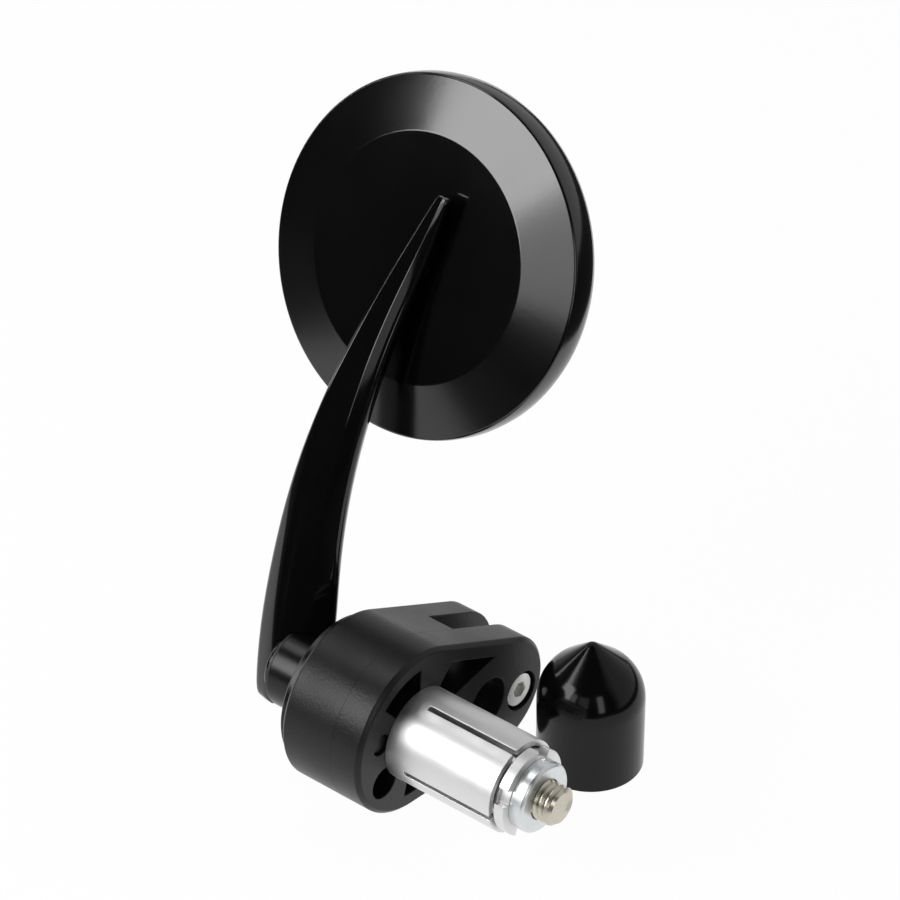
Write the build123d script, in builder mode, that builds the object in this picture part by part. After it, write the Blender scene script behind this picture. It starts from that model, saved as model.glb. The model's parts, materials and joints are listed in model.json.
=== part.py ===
from build123d import *
from math import cos, radians, sin
import os

# Motorcycle bar end mirror, millimetres and degrees.
# +X runs along the handlebar's axis into the bar, and the origin is on that axis, on the face
# of the clamp body that meets the end of the bar. The arm and the head lean back about +X.

os.makedirs("parts", exist_ok=True)

# Clearances
screw_clearance = 0.2
turning_clearance = 0.06
ball_clearance = 0.3
pocket_clearance = 0.15
cone_gap = 0.35
post_clearance = 0.2
stub_gap = 0.3

# Clamp body: a round hub with a lug, moulded in two halves
hub_radius = 17.1
inner_depth = 6.8
slot_width = 6.0
ear_depth = 6.2
lug_angle = -17.9
lug_reach = 27.2
lug_rise = 0.3
lug_radius = 12.1
slot_start = 15.0
edge_round = 0.8
rim_wall = 3.3
collar_radius = 9.0
web_width = 2.2
web_angles = (26.0, 62.0)
long_pocket_angles = (102.0, 148.0)
low_pocket_angles = (272.0, 318.0)
round_pocket_radius = 3.3
round_pocket_reach = 11.4
round_pocket_angle = 231.0
cross_hole_radius = 5.2
cross_hole_reach = 22.0
pin_radius = 2.0
pin_reach = 10.8
pin_angles = (180.0, 350.0)
pin_seat_depth = 5.0

# Lug screw and nut
lug_screw_radius = 2.0
lug_screw_reach = 32.9
lug_head_radius = 3.5
lug_head_height = 4.0
lug_head_sink = 0.5
lug_bore_radius = 4.15
lug_key_width = 3.0
lug_nut_width = 7.0
lug_nut_height = 3.2

# Pivot post with its flange, on the outer face of the body
flange_radius = 15.2
flange_depth = 1.3
groove_depth = 0.5
groove_radius = 13.6
post_radius = 8.0
post_length = 9.8
post_round = 0.3
friction_depth = 0.4
stub_length = 3.4
stub_root = 1.6
stub_groove_depth = 0.8
swivel_screw_radius = 1.5
swivel_screw_reach = 1.8
swivel_key_width = 1.5

# Main bolt
bolt_radius = 4.0
bolt_head_radius = 6.5
bolt_head_height = 3.0
bolt_washer_depth = 0.8
bolt_tail = 34.3
bolt_key_width = 5.0
bolt_key_depth = 2.2
bolt_point = 0.9

# Expanding insert for the bar
sleeve_radius = 9.35
sleeve_length = 24.6
sleeve_bore = 6.6
sleeve_floor = 3.2
spigot_radius = 6.2
spigot_depth = 1.6
sleeve_slot_width = 1.1
sleeve_slot_start = 4.4
sleeve_slot_angle = 28.9
sleeve_slots = 4
mouth_depth = 8.0
mouth_radius = 8.1
cone_flange_radius = 8.7
cone_flange_start = 25.2
cone_flange_depth = 2.2
cone_notch_width = 3.2
cone_notch_depth = 1.6
cone_notch_angle = 84.7
cone_nose_length = 6.5
nut_radius = 7.0
nut_height = 3.0
nut_point = 0.5

# Arm: a bowed, twisted blade whose stub turns in the post
lean = 23.0
foot_depth = 7.6
foot_shift = 1.4
foot_chord = 13.0
foot_thick = 6.4
foot_twist = 40.0
foot_round = 1.4
tip_rise = 13.8
tip_run = 3.2
tip_chord = 2.0
tip_thick = 1.6
corner_ratio = 0.38

# Mirror head
head_across = -30.8
head_height = 82.5
head_back = -7.7
head_radius = 34.3
disc_radius = 23.7
disc_rise = 2.3
rim_bulge = 0.25
rim_crest = 3.4
rim_depth = 8.2
rim_tuck = 1.9
shell_wall = 1.6
rim_lip = 1.3
glass_thick = 2.0
glass_sink = 0.5
glass_seat = 1.5
pad_thick = 0.8
pad_margin = 4.0

# Ball joint between the arm and the head
ball_across = -29.8
ball_radius = 2.6
ball_depth = 1.2
neck_radius = 1.5
neck_hole_radius = 3.0
seat_wall = 0.9
seat_half = 2.0
boss_radius = 12.0
plate_thick = 2.6
plate_screws_count = 3
plate_screw_radius = 1.25
plate_screw_reach = 8.9
plate_screw_length = 4.6
plate_head_radius = 2.3
plate_head_height = 1.0
stud_radius = 1.3
stud_depth = 2.2
stud_collar_radius = 2.0
stud_collar_depth = 0.6

# Vinyl cap for the insert, standing apart
cap_wall = 1.0
cap_height = 28.0
cap_cone_angle = 41.0
cap_cone_radius = 7.0
cap_tip_round = 1.6
cap_along = 15.0
cap_aside = 33.7

# Frames: the bar's plane turned to the lug, and the head's plane leaning back
up = Vector(0, sin(radians(lean)), cos(radians(lean)))
out = Vector(0, -cos(radians(lean)), sin(radians(lean)))
along = Vector(1, 0, 0)
lug_way = Vector(0, cos(radians(lug_angle)), sin(radians(lug_angle)))


def bar_plane(x):
    return Plane(origin=(x, 0, 0), x_dir=lug_way, z_dir=along)


def turned_plane(start):
    return Plane(origin=start, x_dir=along, z_dir=-up)


def arm_point(across, height, outward):
    return along * across + up * height + out * outward


# Stations along X, from the outer end to the bar
seam_x = -inner_depth
ear_x = seam_x - slot_width
back_x = ear_x - ear_depth
flange_x = back_x - groove_depth
post_x = flange_x - flange_depth - post_length
seat_x = post_x - friction_depth
stub_end_x = post_x + stub_length
bolt_head_end_x = stub_end_x + stub_gap
bolt_head_x = bolt_head_end_x + bolt_head_height
bolt_washer_x = bolt_head_x + bolt_washer_depth
swivel_bore_radius = bolt_head_radius + pocket_clearance
swivel_screw_x = (post_x + stub_end_x) / 2
bolt_hole_radius = bolt_radius + screw_clearance
cone_start_x = cone_flange_start - cone_nose_length
nut_x = cone_flange_start + cone_flange_depth


def pear(hub, end):
    Circle(hub)
    with Locations((lug_reach, lug_rise)):
        Circle(end)
    make_hull()


def sector(first, last, far):
    half = (last - first) / 2
    middle = (first + last) / 2
    side = far * sin(radians(half)) / cos(radians(half))
    with Locations(Location((0, 0, 0), (0, 0, middle))):
        Polygon((0, 0), (far, side), (far, -side), align=None, mode=Mode.INTERSECT)


# Inner half: the bar side of the body, with its pockets, webs and bores
pin_places = [(pin_reach * cos(radians(a)), pin_reach * sin(radians(a))) for a in pin_angles]
with BuildPart() as inner_half:
    with BuildSketch(bar_plane(seam_x)):
        pear(hub_radius, lug_radius)
    extrude(amount=inner_depth)
    rim_edges = inner_half.faces().sort_by(Axis.X)[-1].edges()
    chamfer(rim_edges, edge_round)
    # Arc pockets between the collar and the rim
    for first, last in (long_pocket_angles, low_pocket_angles):
        with BuildSketch(bar_plane(seam_x)):
            Circle(hub_radius - rim_wall)
            sector(first, last, 2 * hub_radius)
            Circle(collar_radius, mode=Mode.SUBTRACT)
        extrude(amount=inner_depth, mode=Mode.SUBTRACT)
    # A pocket on each side of the lug, between its wall and the ring round the cross hole
    for side in (1, -1):
        with BuildSketch(bar_plane(seam_x)):
            pear(hub_radius - rim_wall, lug_radius - rim_wall)
            sector(*sorted(side * a for a in web_angles), 2 * lug_reach)
            Circle(collar_radius, mode=Mode.SUBTRACT)
            with Locations((cross_hole_reach, lug_rise)):
                Circle(cross_hole_radius + web_width, mode=Mode.SUBTRACT)
        extrude(amount=inner_depth, mode=Mode.SUBTRACT)
    with BuildSketch(bar_plane(seam_x)):
        Circle(bolt_hole_radius)
        with Locations((cross_hole_reach, lug_rise)):
            Circle(cross_hole_radius)
        with PolarLocations(round_pocket_reach, 1, start_angle=round_pocket_angle):
            Circle(round_pocket_radius)
        with Locations(*pin_places):
            Circle(pin_radius + pocket_clearance)
        with Locations((lug_screw_reach, 0)):
            Circle(lug_screw_radius + screw_clearance)
    extrude(amount=inner_depth, mode=Mode.SUBTRACT)
    with BuildSketch(bar_plane(0)):
        Circle(spigot_radius + pocket_clearance)
    extrude(amount=-spigot_depth - pocket_clearance, mode=Mode.SUBTRACT)
    with BuildSketch(bar_plane(0)):
        with Locations((lug_screw_reach, 0)):
            Circle(lug_bore_radius)
    extrude(amount=-lug_head_height - lug_head_sink, mode=Mode.SUBTRACT)
inner_half.part.label = "inner_half"
export_step(inner_half.part, "parts/inner_half.step")

# Outer half: the arm side of the body, with the ear behind the slot
with BuildPart() as outer_half:
    with BuildSketch(bar_plane(back_x)):
        pear(hub_radius, lug_radius)
    extrude(amount=ear_depth + slot_width)
    chamfer(outer_half.faces().sort_by(Axis.X)[0].edges(), edge_round)
    with BuildSketch(bar_plane(ear_x)):
        with Locations((slot_start, 0)):
            Rectangle(2 * lug_reach, 4 * hub_radius, align=(Align.MIN, Align.CENTER))
    extrude(amount=slot_width, mode=Mode.SUBTRACT)
    with BuildSketch(bar_plane(back_x)):
        Circle(bolt_hole_radius)
        with Locations((cross_hole_reach, lug_rise)):
            Circle(cross_hole_radius)
        with Locations((lug_screw_reach, 0)):
            Circle(lug_screw_radius + screw_clearance)
    extrude(amount=ear_depth + slot_width, mode=Mode.SUBTRACT)
    with BuildSketch(bar_plane(back_x)):
        with Locations((lug_screw_reach, 0)):
            RegularPolygon(lug_nut_width / 2 + pocket_clearance, 6, major_radius=False)
    extrude(amount=lug_nut_height + pocket_clearance, mode=Mode.SUBTRACT)
    with BuildSketch(bar_plane(seam_x)):
        with Locations(*pin_places):
            Circle(pin_radius)
    extrude(amount=-pin_seat_depth, mode=Mode.SUBTRACT)
outer_half.part.label = "outer_half"
export_step(outer_half.part, "parts/outer_half.step")

# Pins that line the two halves up
with BuildPart() as locating_pins:
    with BuildSketch(bar_plane(seam_x - pin_seat_depth)):
        with Locations(*pin_places):
            Circle(pin_radius)
    extrude(amount=pin_seat_depth + inner_depth - edge_round)
locating_pins.part.label = "locating_pins"
export_step(locating_pins.part, "parts/locating_pins.step")

# Socket screw that draws the ears together, and its captive nut
with BuildPart() as lug_screw:
    head_x = -lug_head_sink - lug_head_height
    with BuildSketch(bar_plane(head_x)):
        with Locations((lug_screw_reach, 0)):
            Circle(lug_head_radius)
    extrude(amount=lug_head_height)
    with BuildSketch(bar_plane(head_x)):
        with Locations((lug_screw_reach, 0)):
            Circle(lug_screw_radius)
    extrude(amount=head_x - back_x - pocket_clearance, dir=-along)
    with BuildSketch(bar_plane(-lug_head_sink)):
        with Locations((lug_screw_reach, 0)):
            RegularPolygon(lug_key_width / 2, 6, major_radius=False)
    extrude(amount=-lug_head_height / 2, mode=Mode.SUBTRACT)
lug_screw.part.label = "lug_screw"
export_step(lug_screw.part, "parts/lug_screw.step")

with BuildPart() as lug_nut:
    with BuildSketch(bar_plane(back_x + pocket_clearance)):
        with Locations((lug_screw_reach, 0)):
            RegularPolygon(lug_nut_width / 2, 6, major_radius=False)
            Circle(lug_screw_radius, mode=Mode.SUBTRACT)
    extrude(amount=lug_nut_height)
lug_nut.part.label = "lug_nut"
export_step(lug_nut.part, "parts/lug_nut.step")

# Pivot post: the round post that the arm's stub turns in, with its thin flange
swivel_plane = Plane(origin=(swivel_screw_x, 0, 0), x_dir=along, z_dir=-up)
with BuildPart() as pivot_post:
    with BuildSketch(bar_plane(flange_x)):
        Circle(groove_radius)
    extrude(amount=groove_depth)
    with BuildSketch(bar_plane(flange_x)):
        Circle(flange_radius)
    extrude(amount=-flange_depth)
    chamfer(pivot_post.faces().sort_by(Axis.X)[0].edges(), flange_depth / 4)
    with BuildSketch(bar_plane(flange_x - flange_depth)):
        Circle(post_radius)
    extrude(amount=-post_length)
    chamfer(pivot_post.faces().sort_by(Axis.X)[0].edges(), post_round)
    with BuildSketch(bar_plane(back_x)):
        Circle(bolt_hole_radius)
    extrude(amount=post_x - back_x, mode=Mode.SUBTRACT)
    with BuildSketch(bar_plane(post_x)):
        Circle(swivel_bore_radius)
    extrude(amount=bolt_washer_x - post_x, mode=Mode.SUBTRACT)
    with BuildSketch(swivel_plane):
        Circle(swivel_screw_radius)
    extrude(amount=post_radius, mode=Mode.SUBTRACT)
pivot_post.part.label = "pivot_post"
export_step(pivot_post.part, "parts/pivot_post.step")


def washer_face(outer, inner):
    Circle(outer)
    Circle(inner, mode=Mode.SUBTRACT)


# Washers: one that the arm's foot turns against, one under the bolt's head
with BuildPart() as friction_washer:
    with BuildSketch(bar_plane(seat_x)):
        washer_face(post_radius - post_round, swivel_bore_radius)
    extrude(amount=friction_depth)
friction_washer.part.label = "friction_washer"
export_step(friction_washer.part, "parts/friction_washer.step")

with BuildPart() as bolt_washer:
    with BuildSketch(bar_plane(bolt_head_x)):
        washer_face(bolt_head_radius, bolt_hole_radius)
    extrude(amount=bolt_washer_depth)
bolt_washer.part.label = "bolt_washer"
export_step(bolt_washer.part, "parts/bolt_washer.step")

# Grub screw in the post, whose point holds the arm's stub by its groove
groove_root_radius = swivel_bore_radius - turning_clearance - stub_groove_depth
swivel_point = groove_root_radius + turning_clearance
with BuildPart() as swivel_screw:
    with BuildSketch(swivel_plane.offset(swivel_point)):
        Circle(swivel_screw_radius)
    extrude(amount=swivel_screw_reach)
    with BuildSketch(swivel_plane.offset(swivel_point + swivel_screw_reach)):
        RegularPolygon(swivel_key_width / 2, 6, major_radius=False)
    extrude(amount=-swivel_screw_reach / 2, mode=Mode.SUBTRACT)
swivel_screw.part.label = "swivel_screw"
export_step(swivel_screw.part, "parts/swivel_screw.step")

# Main bolt: its head lies in the post, and its end draws the cone into the sleeve
with BuildPart() as main_bolt:
    with BuildSketch(bar_plane(bolt_head_x)):
        Circle(bolt_head_radius)
    extrude(amount=-bolt_head_height)
    chamfer(main_bolt.faces().sort_by(Axis.X)[0].edges(), bolt_point / 2)
    with BuildSketch(bar_plane(bolt_head_x - bolt_head_height)):
        RegularPolygon(bolt_key_width / 2, 6, major_radius=False)
    extrude(amount=bolt_key_depth, mode=Mode.SUBTRACT)
    with BuildSketch(bar_plane(bolt_head_x)):
        Circle(bolt_radius)
    extrude(amount=bolt_tail - bolt_head_x)
    chamfer(main_bolt.faces().sort_by(Axis.X)[-1].edges(), bolt_point)
main_bolt.part.label = "main_bolt"
export_step(main_bolt.part, "parts/main_bolt.step")

# Sleeve: turned tube with a floor, a tapered mouth and lengthwise slots
with BuildPart() as expander_sleeve:
    with BuildSketch(Plane.XY):
        with BuildLine():
            Polyline(
                (-spigot_depth, bolt_hole_radius),
                (-spigot_depth, spigot_radius),
                (0, spigot_radius),
                (0, sleeve_radius),
                (sleeve_length, sleeve_radius),
                (sleeve_length, mouth_radius),
                (sleeve_length - mouth_depth, sleeve_bore),
                (sleeve_floor, sleeve_bore),
                (sleeve_floor, bolt_hole_radius),
                close=True,
            )
        make_face()
    revolve(axis=Axis.X)
    with BuildSketch(bar_plane(sleeve_slot_start)):
        with PolarLocations(0, sleeve_slots, start_angle=sleeve_slot_angle):
            Rectangle(2 * sleeve_radius, sleeve_slot_width, align=(Align.MIN, Align.CENTER))
        Circle(sleeve_bore, mode=Mode.SUBTRACT)
    extrude(amount=sleeve_length, mode=Mode.SUBTRACT)
expander_sleeve.part.label = "expander_sleeve"
export_step(expander_sleeve.part, "parts/expander_sleeve.step")

# Cone: notched flange at the sleeve's mouth, with a nose that spreads the sleeve
mouth_slope = (mouth_radius - sleeve_bore) / mouth_depth
nose_end_radius = mouth_radius - cone_gap
nose_tip_radius = nose_end_radius - mouth_slope * cone_nose_length
with BuildPart() as expander_cone:
    with BuildSketch(Plane.XY):
        with BuildLine():
            Polyline(
                (cone_start_x, bolt_hole_radius),
                (cone_start_x, nose_tip_radius),
                (cone_flange_start, nose_end_radius),
                (cone_flange_start, cone_flange_radius),
                (nut_x, cone_flange_radius),
                (nut_x, bolt_hole_radius),
                close=True,
            )
        make_face()
    revolve(axis=Axis.X)
    with BuildSketch(bar_plane(cone_flange_start)):
        with PolarLocations(0, sleeve_slots, start_angle=cone_notch_angle):
            Rectangle(2 * sleeve_radius, cone_notch_width, align=(Align.MIN, Align.CENTER))
        Circle(cone_flange_radius - cone_notch_depth, mode=Mode.SUBTRACT)
    extrude(amount=cone_flange_depth, mode=Mode.SUBTRACT)
expander_cone.part.label = "expander_cone"
export_step(expander_cone.part, "parts/expander_cone.step")

# Round nut that the bolt runs in, fixed to the cone's face
with BuildPart() as cone_nut:
    with BuildSketch(bar_plane(nut_x)):
        washer_face(nut_radius, bolt_radius + turning_clearance)
    extrude(amount=nut_height)
    nut_face = cone_nut.faces().sort_by(Axis.X)[-1]
    chamfer(nut_face.outer_wire().edges(), nut_point)
cone_nut.part.label = "cone_nut"
export_step(cone_nut.part, "parts/cone_nut.step")

# Arm stations: share of the head's height, bow, outward, chord, thickness and twist
arm_rows = (
    (0.073, 0.45, 0.0, 14.9, 6.4, 40.0),
    (0.242, 2.58, 0.6, 13.1, 6.4, 37.0),
    (0.411, 3.32, 1.6, 11.8, 6.0, 32.0),
    (0.580, 3.02, 2.0, 10.2, 5.4, 26.0),
    (0.750, 2.29, 1.0, 8.3, 4.7, 19.0),
    (0.895, 1.41, -1.0, 6.8, 4.0, 12.0),
)
ball_outward = -2.2
ball_chord = 5.5
ball_thick = 3.4
ball_twist = 6.0
arm_stations = [(-foot_depth, seat_x + foot_shift, 0, foot_chord, foot_thick, foot_twist)]
for share, bow, outward, chord, thick, twist in arm_rows:
    across = seat_x + (ball_across - seat_x) * share - bow
    arm_stations.append((share * head_height, across, outward, chord, thick, twist))
arm_stations.append((head_height, ball_across, ball_outward, ball_chord, ball_thick, ball_twist))
arm_stations.append((head_height + tip_rise, ball_across + tip_run, ball_outward, tip_chord, tip_thick, 0))


def blade_plane(height, across, outward, twist):
    chord_way = along * cos(radians(twist)) - out * sin(radians(twist))
    return Plane(origin=arm_point(across, height, outward), x_dir=chord_way, z_dir=up)


def arm_plane(outward):
    return Plane(origin=arm_point(ball_across, head_height, outward), x_dir=along, z_dir=out)


with BuildPart() as arm:
    for height, across, outward, chord, thick, twist in arm_stations:
        with BuildSketch(blade_plane(height, across, outward, twist)):
            RectangleRounded(chord, thick, thick * corner_ratio)
    loft()
    fillet(arm.faces().sort_by(Axis((0, 0, 0), up))[0].edges(), foot_round)
    # Room for the post, and for the body below it
    with BuildSketch(Plane(origin=(seat_x, 0, 0), x_dir=out, z_dir=along)):
        Circle(post_radius + post_clearance)
        Rectangle(4 * post_radius, 2 * foot_depth, align=(Align.CENTER, Align.MIN))
    extrude(amount=back_x - seat_x, mode=Mode.SUBTRACT)
    # Stub with the groove for the grub screw
    stub_radius = swivel_bore_radius - turning_clearance
    with BuildSketch(bar_plane(seat_x - stub_root)):
        Circle(stub_radius)
    extrude(amount=stub_end_x - seat_x + stub_root)
    with BuildSketch(bar_plane(swivel_screw_x)):
        washer_face(swivel_bore_radius, groove_root_radius)
    extrude(amount=swivel_screw_radius + turning_clearance, both=True, mode=Mode.SUBTRACT)
    stud_face = ball_outward - ball_thick / 2
    with BuildSketch(arm_plane(stud_face)):
        Circle(stud_collar_radius + pocket_clearance)
    extrude(amount=-ball_thick, mode=Mode.SUBTRACT)
    with BuildSketch(arm_plane(stud_face)):
        Circle(stud_radius)
    extrude(amount=stud_depth, mode=Mode.SUBTRACT)
arm.part.label = "arm"
export_step(arm.part, "parts/arm.step")

# Head shell: dished back with a flat disc, a bevel and a rounded rim
head_origin = arm_point(head_across, head_height, head_back)
head_axis = Axis(head_origin, out)
ball_centre = arm_point(ball_across, head_height, head_back - ball_depth)
ball_axis = Axis(ball_centre, out)
rim_back_radius = head_radius - rim_tuck
glass_radius = rim_back_radius - rim_lip - pocket_clearance
seat_radius = glass_radius - glass_seat
glass_back = -rim_depth + glass_sink + glass_thick
boss_face = head_back - ball_depth
plate_face = boss_face - plate_thick
pocket_radius = ball_radius + 2 * ball_clearance + seat_wall
bevel_slope = disc_rise / (head_radius - disc_radius)
bevel_inside = bevel_slope * (head_radius - seat_radius) - shell_wall


with BuildPart() as head_shell:
    with BuildSketch(turned_plane(head_origin)):
        with BuildLine():
            Polyline(
                (0, disc_rise - shell_wall),
                (0, disc_rise),
                (disc_radius, disc_rise),
                (head_radius, 0),
            )
            ThreePointArc(
                (head_radius, 0),
                (head_radius + rim_bulge, -rim_crest),
                (rim_back_radius, -rim_depth),
            )
            Polyline(
                (rim_back_radius, -rim_depth),
                (rim_back_radius - rim_lip, -rim_depth),
                (rim_back_radius - rim_lip, glass_back),
                (seat_radius, glass_back),
                (seat_radius, bevel_inside),
                (disc_radius, disc_rise - shell_wall),
                (0, disc_rise - shell_wall),
            )
        make_face()
    revolve(axis=head_axis)
    with BuildSketch(arm_plane(boss_face)):
        Circle(boss_radius)
    extrude(amount=ball_depth + disc_rise - shell_wall / 2)
    with BuildSketch(arm_plane(boss_face)):
        Circle(neck_hole_radius)
    extrude(amount=2 * (ball_depth + disc_rise), mode=Mode.SUBTRACT)
    with Locations(Location(arm_plane(boss_face))):
        Sphere(pocket_radius, mode=Mode.SUBTRACT)
    with BuildSketch(arm_plane(boss_face)):
        with PolarLocations(plate_screw_reach, plate_screws_count):
            Circle(plate_screw_radius)
    extrude(amount=plate_screw_length - plate_thick, mode=Mode.SUBTRACT)
head_shell.part.label = "head_shell"
export_step(head_shell.part, "parts/head_shell.step")

# Glass and its foam pad
with BuildPart() as mirror_glass:
    with BuildSketch(Plane(origin=head_origin + out * (glass_back - glass_thick), x_dir=along, z_dir=out)):
        Circle(glass_radius)
    extrude(amount=glass_thick)
    chamfer(mirror_glass.edges().sort_by(SortBy.LENGTH)[-2:], glass_thick / 6)
mirror_glass.part.label = "mirror_glass"
export_step(mirror_glass.part, "parts/mirror_glass.step")

with BuildPart() as foam_pad:
    with BuildSketch(Plane(origin=head_origin + out * glass_back, x_dir=along, z_dir=out)):
        Circle(seat_radius - pad_margin)
    extrude(amount=pad_thick)
foam_pad.part.label = "foam_pad"
export_step(foam_pad.part, "parts/foam_pad.step")

# Plate that holds the ball in the shell, with three screws
with BuildPart() as socket_plate:
    with BuildSketch(arm_plane(plate_face)):
        Circle(boss_radius)
        with PolarLocations(plate_screw_reach, plate_screws_count):
            Circle(plate_screw_radius + screw_clearance, mode=Mode.SUBTRACT)
    extrude(amount=plate_thick)
    with Locations(Location(arm_plane(boss_face))):
        Sphere(pocket_radius, mode=Mode.SUBTRACT)
socket_plate.part.label = "socket_plate"
export_step(socket_plate.part, "parts/socket_plate.step")

with BuildPart() as plate_screws:
    with BuildSketch(arm_plane(plate_face)):
        with PolarLocations(plate_screw_reach, plate_screws_count):
            Circle(plate_screw_radius)
    extrude(amount=plate_screw_length)
    with BuildSketch(arm_plane(plate_face)):
        with PolarLocations(plate_screw_reach, plate_screws_count):
            Circle(plate_head_radius)
    extrude(amount=-plate_head_height)
plate_screws.part.label = "plate_screws"
export_step(plate_screws.part, "parts/plate_screws.step")

# Seat: the plastic ring between the ball and its socket
with BuildPart() as ball_seat:
    with Locations(Location(arm_plane(boss_face))):
        Sphere(pocket_radius - ball_clearance)
        Sphere(ball_radius + ball_clearance, mode=Mode.SUBTRACT)
    split(bisect_by=arm_plane(boss_face + seat_half), keep=Keep.BOTTOM)
    split(bisect_by=arm_plane(boss_face - seat_half), keep=Keep.TOP)
ball_seat.part.label = "ball_seat"
export_step(ball_seat.part, "parts/ball_seat.step")

# Ball stud: ball, neck, collar and the shank fixed in the arm
with BuildPart() as ball_stud:
    with Locations(Location(arm_plane(boss_face))):
        Sphere(ball_radius)
    with BuildSketch(arm_plane(boss_face)):
        Circle(neck_radius)
    extrude(amount=stud_face - boss_face)
    with BuildSketch(arm_plane(stud_face)):
        Circle(stud_collar_radius)
    extrude(amount=-stud_collar_depth)
    with BuildSketch(arm_plane(stud_face)):
        Circle(stud_radius)
    extrude(amount=stud_depth)
ball_stud.part.label = "ball_stud"
export_step(ball_stud.part, "parts/ball_stud.step")

# Cap: dip-moulded cup with a pointed top, standing level with the lug's lowest point
cap_bore = sleeve_radius + turning_clearance
cap_radius = cap_bore + cap_wall
lug_low = lug_reach * sin(radians(lug_angle)) + lug_rise * cos(radians(lug_angle)) - lug_radius
cap_origin = (cap_along, cap_aside, lug_low)
cap_section = Plane(origin=cap_origin, x_dir=along, z_dir=(0, -1, 0))
cone_sine = sin(radians(cap_cone_angle))
cone_cosine = cos(radians(cap_cone_angle))
half_sine = sin(radians(cap_cone_angle / 2))
half_cosine = cos(radians(cap_cone_angle / 2))
shoulder_round = (cap_radius - cap_cone_radius) / (1 - cone_sine)
tip_y = cap_height - cap_tip_round
cone_run = cap_cone_radius - cap_tip_round * cone_sine
cone_low = tip_y + cap_tip_round * cone_cosine - cone_run * cone_sine / cone_cosine
shoulder_x = cap_radius - shoulder_round
shoulder_y = cone_low - shoulder_round * cone_cosine
mid_sine = sin(radians((cap_cone_angle + 90) / 2))
mid_cosine = cos(radians((cap_cone_angle + 90) / 2))
with BuildPart() as insert_cap:
    for inset, mode in ((0, Mode.ADD), (cap_wall, Mode.SUBTRACT)):
        tip = cap_tip_round - inset
        shoulder = shoulder_round - inset
        tip_end = (tip * cone_sine, tip_y + tip * cone_cosine)
        cone_end = (shoulder_x + shoulder * cone_sine, shoulder_y + shoulder * cone_cosine)
        shoulder_mid = (shoulder_x + shoulder * mid_sine, shoulder_y + shoulder * mid_cosine)
        wall_top = (shoulder_x + shoulder, shoulder_y)
        with BuildSketch(cap_section):
            with BuildLine():
                Polyline((0, tip_y + tip), (0, 0), (cap_radius - inset, 0), wall_top)
                ThreePointArc(wall_top, shoulder_mid, cone_end)
                Line(cone_end, tip_end)
                ThreePointArc(tip_end, (tip * half_sine, tip_y + tip * half_cosine), (0, tip_y + tip))
            make_face()
        revolve(axis=Axis(cap_origin, (0, 0, 1)), mode=mode)
insert_cap.part.label = "insert_cap"
export_step(insert_cap.part, "parts/insert_cap.step")
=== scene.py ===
import bpy
import bmesh
import json
import math
from mathutils import Matrix, Vector


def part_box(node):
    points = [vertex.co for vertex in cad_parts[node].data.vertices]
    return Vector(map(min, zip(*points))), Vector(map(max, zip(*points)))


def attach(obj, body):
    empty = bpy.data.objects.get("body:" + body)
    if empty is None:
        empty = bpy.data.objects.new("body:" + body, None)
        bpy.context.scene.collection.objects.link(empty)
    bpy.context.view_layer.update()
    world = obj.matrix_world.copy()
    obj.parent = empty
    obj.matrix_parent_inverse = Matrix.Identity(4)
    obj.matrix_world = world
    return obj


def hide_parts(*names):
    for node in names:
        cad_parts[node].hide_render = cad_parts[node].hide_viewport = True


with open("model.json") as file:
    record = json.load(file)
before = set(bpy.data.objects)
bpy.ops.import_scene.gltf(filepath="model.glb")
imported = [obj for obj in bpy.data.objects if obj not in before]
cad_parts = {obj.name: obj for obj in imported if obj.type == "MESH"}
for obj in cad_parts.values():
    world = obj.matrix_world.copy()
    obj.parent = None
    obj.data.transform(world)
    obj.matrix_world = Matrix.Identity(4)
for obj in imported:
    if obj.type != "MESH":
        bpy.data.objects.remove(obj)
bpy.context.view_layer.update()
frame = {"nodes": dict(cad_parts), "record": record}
nodes = frame["nodes"]
print("frame loaded:", len(nodes), "nodes")

mm = 0.001
mergeGap = 0.002 * mm  # points closer than this become one
spinGap = 0.001 * mm  # the same where a spin closes
nearGap = 0.01 * mm  # a point this near to a plane lies in it
barAxis = (1, 0, 0)

# the arm and the head lean back about the bar's axis
lean = math.radians(23.0)
headUp = Vector((0, math.sin(lean), math.cos(lean)))
headOut = Vector((0, -math.cos(lean), math.sin(lean)))
headCentre = Vector((-30.8, 0, 0)) * mm + headUp * 82.5 * mm + headOut * -7.7 * mm
discRadius = 23.7  # of the flat disc on the head's back


def addObject(name, data):
    obj = bpy.data.objects.new(name, data)
    bpy.context.scene.collection.objects.link(obj)
    return obj


def meshObject(bm, name):
    mesh = bpy.data.meshes.new(name)
    bm.to_mesh(mesh)
    bm.free()
    return addObject(name, mesh)


# camera, fitted to the ellipses and edges of the photograph
cameraView = {
    "turn": 39.34,
    "height": 36.22,
    "distance": 0.8,
    "right": 6.11 * mm,
    "up": 52.5 * mm,
    "lens": 171.58,
    "sensor": 36.0,
    "clip": (0.05, 20.0),
}


def placeCamera(v):
    a, e = math.radians(v["turn"]), math.radians(v["height"])
    back = Vector((math.sin(a) * math.cos(e), -math.cos(a) * math.cos(e), math.sin(e)))
    right = Vector((math.cos(a), math.sin(a), 0))
    up = back.cross(right)
    data = bpy.data.cameras.new("camera")
    data.lens = v["lens"]
    data.sensor_width = v["sensor"]
    data.clip_start, data.clip_end = v["clip"]
    cam = addObject("camera", data)
    cam.location = right * v["right"] + up * v["up"] + back * v["distance"]
    cam.rotation_mode = "QUATERNION"
    cam.rotation_quaternion = (-back).to_track_quat("-Z", "Y")
    bpy.context.scene.camera = cam


placeCamera(cameraView)
bpy.context.scene.view_settings.view_transform = "Standard"
print("camera placed")


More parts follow.
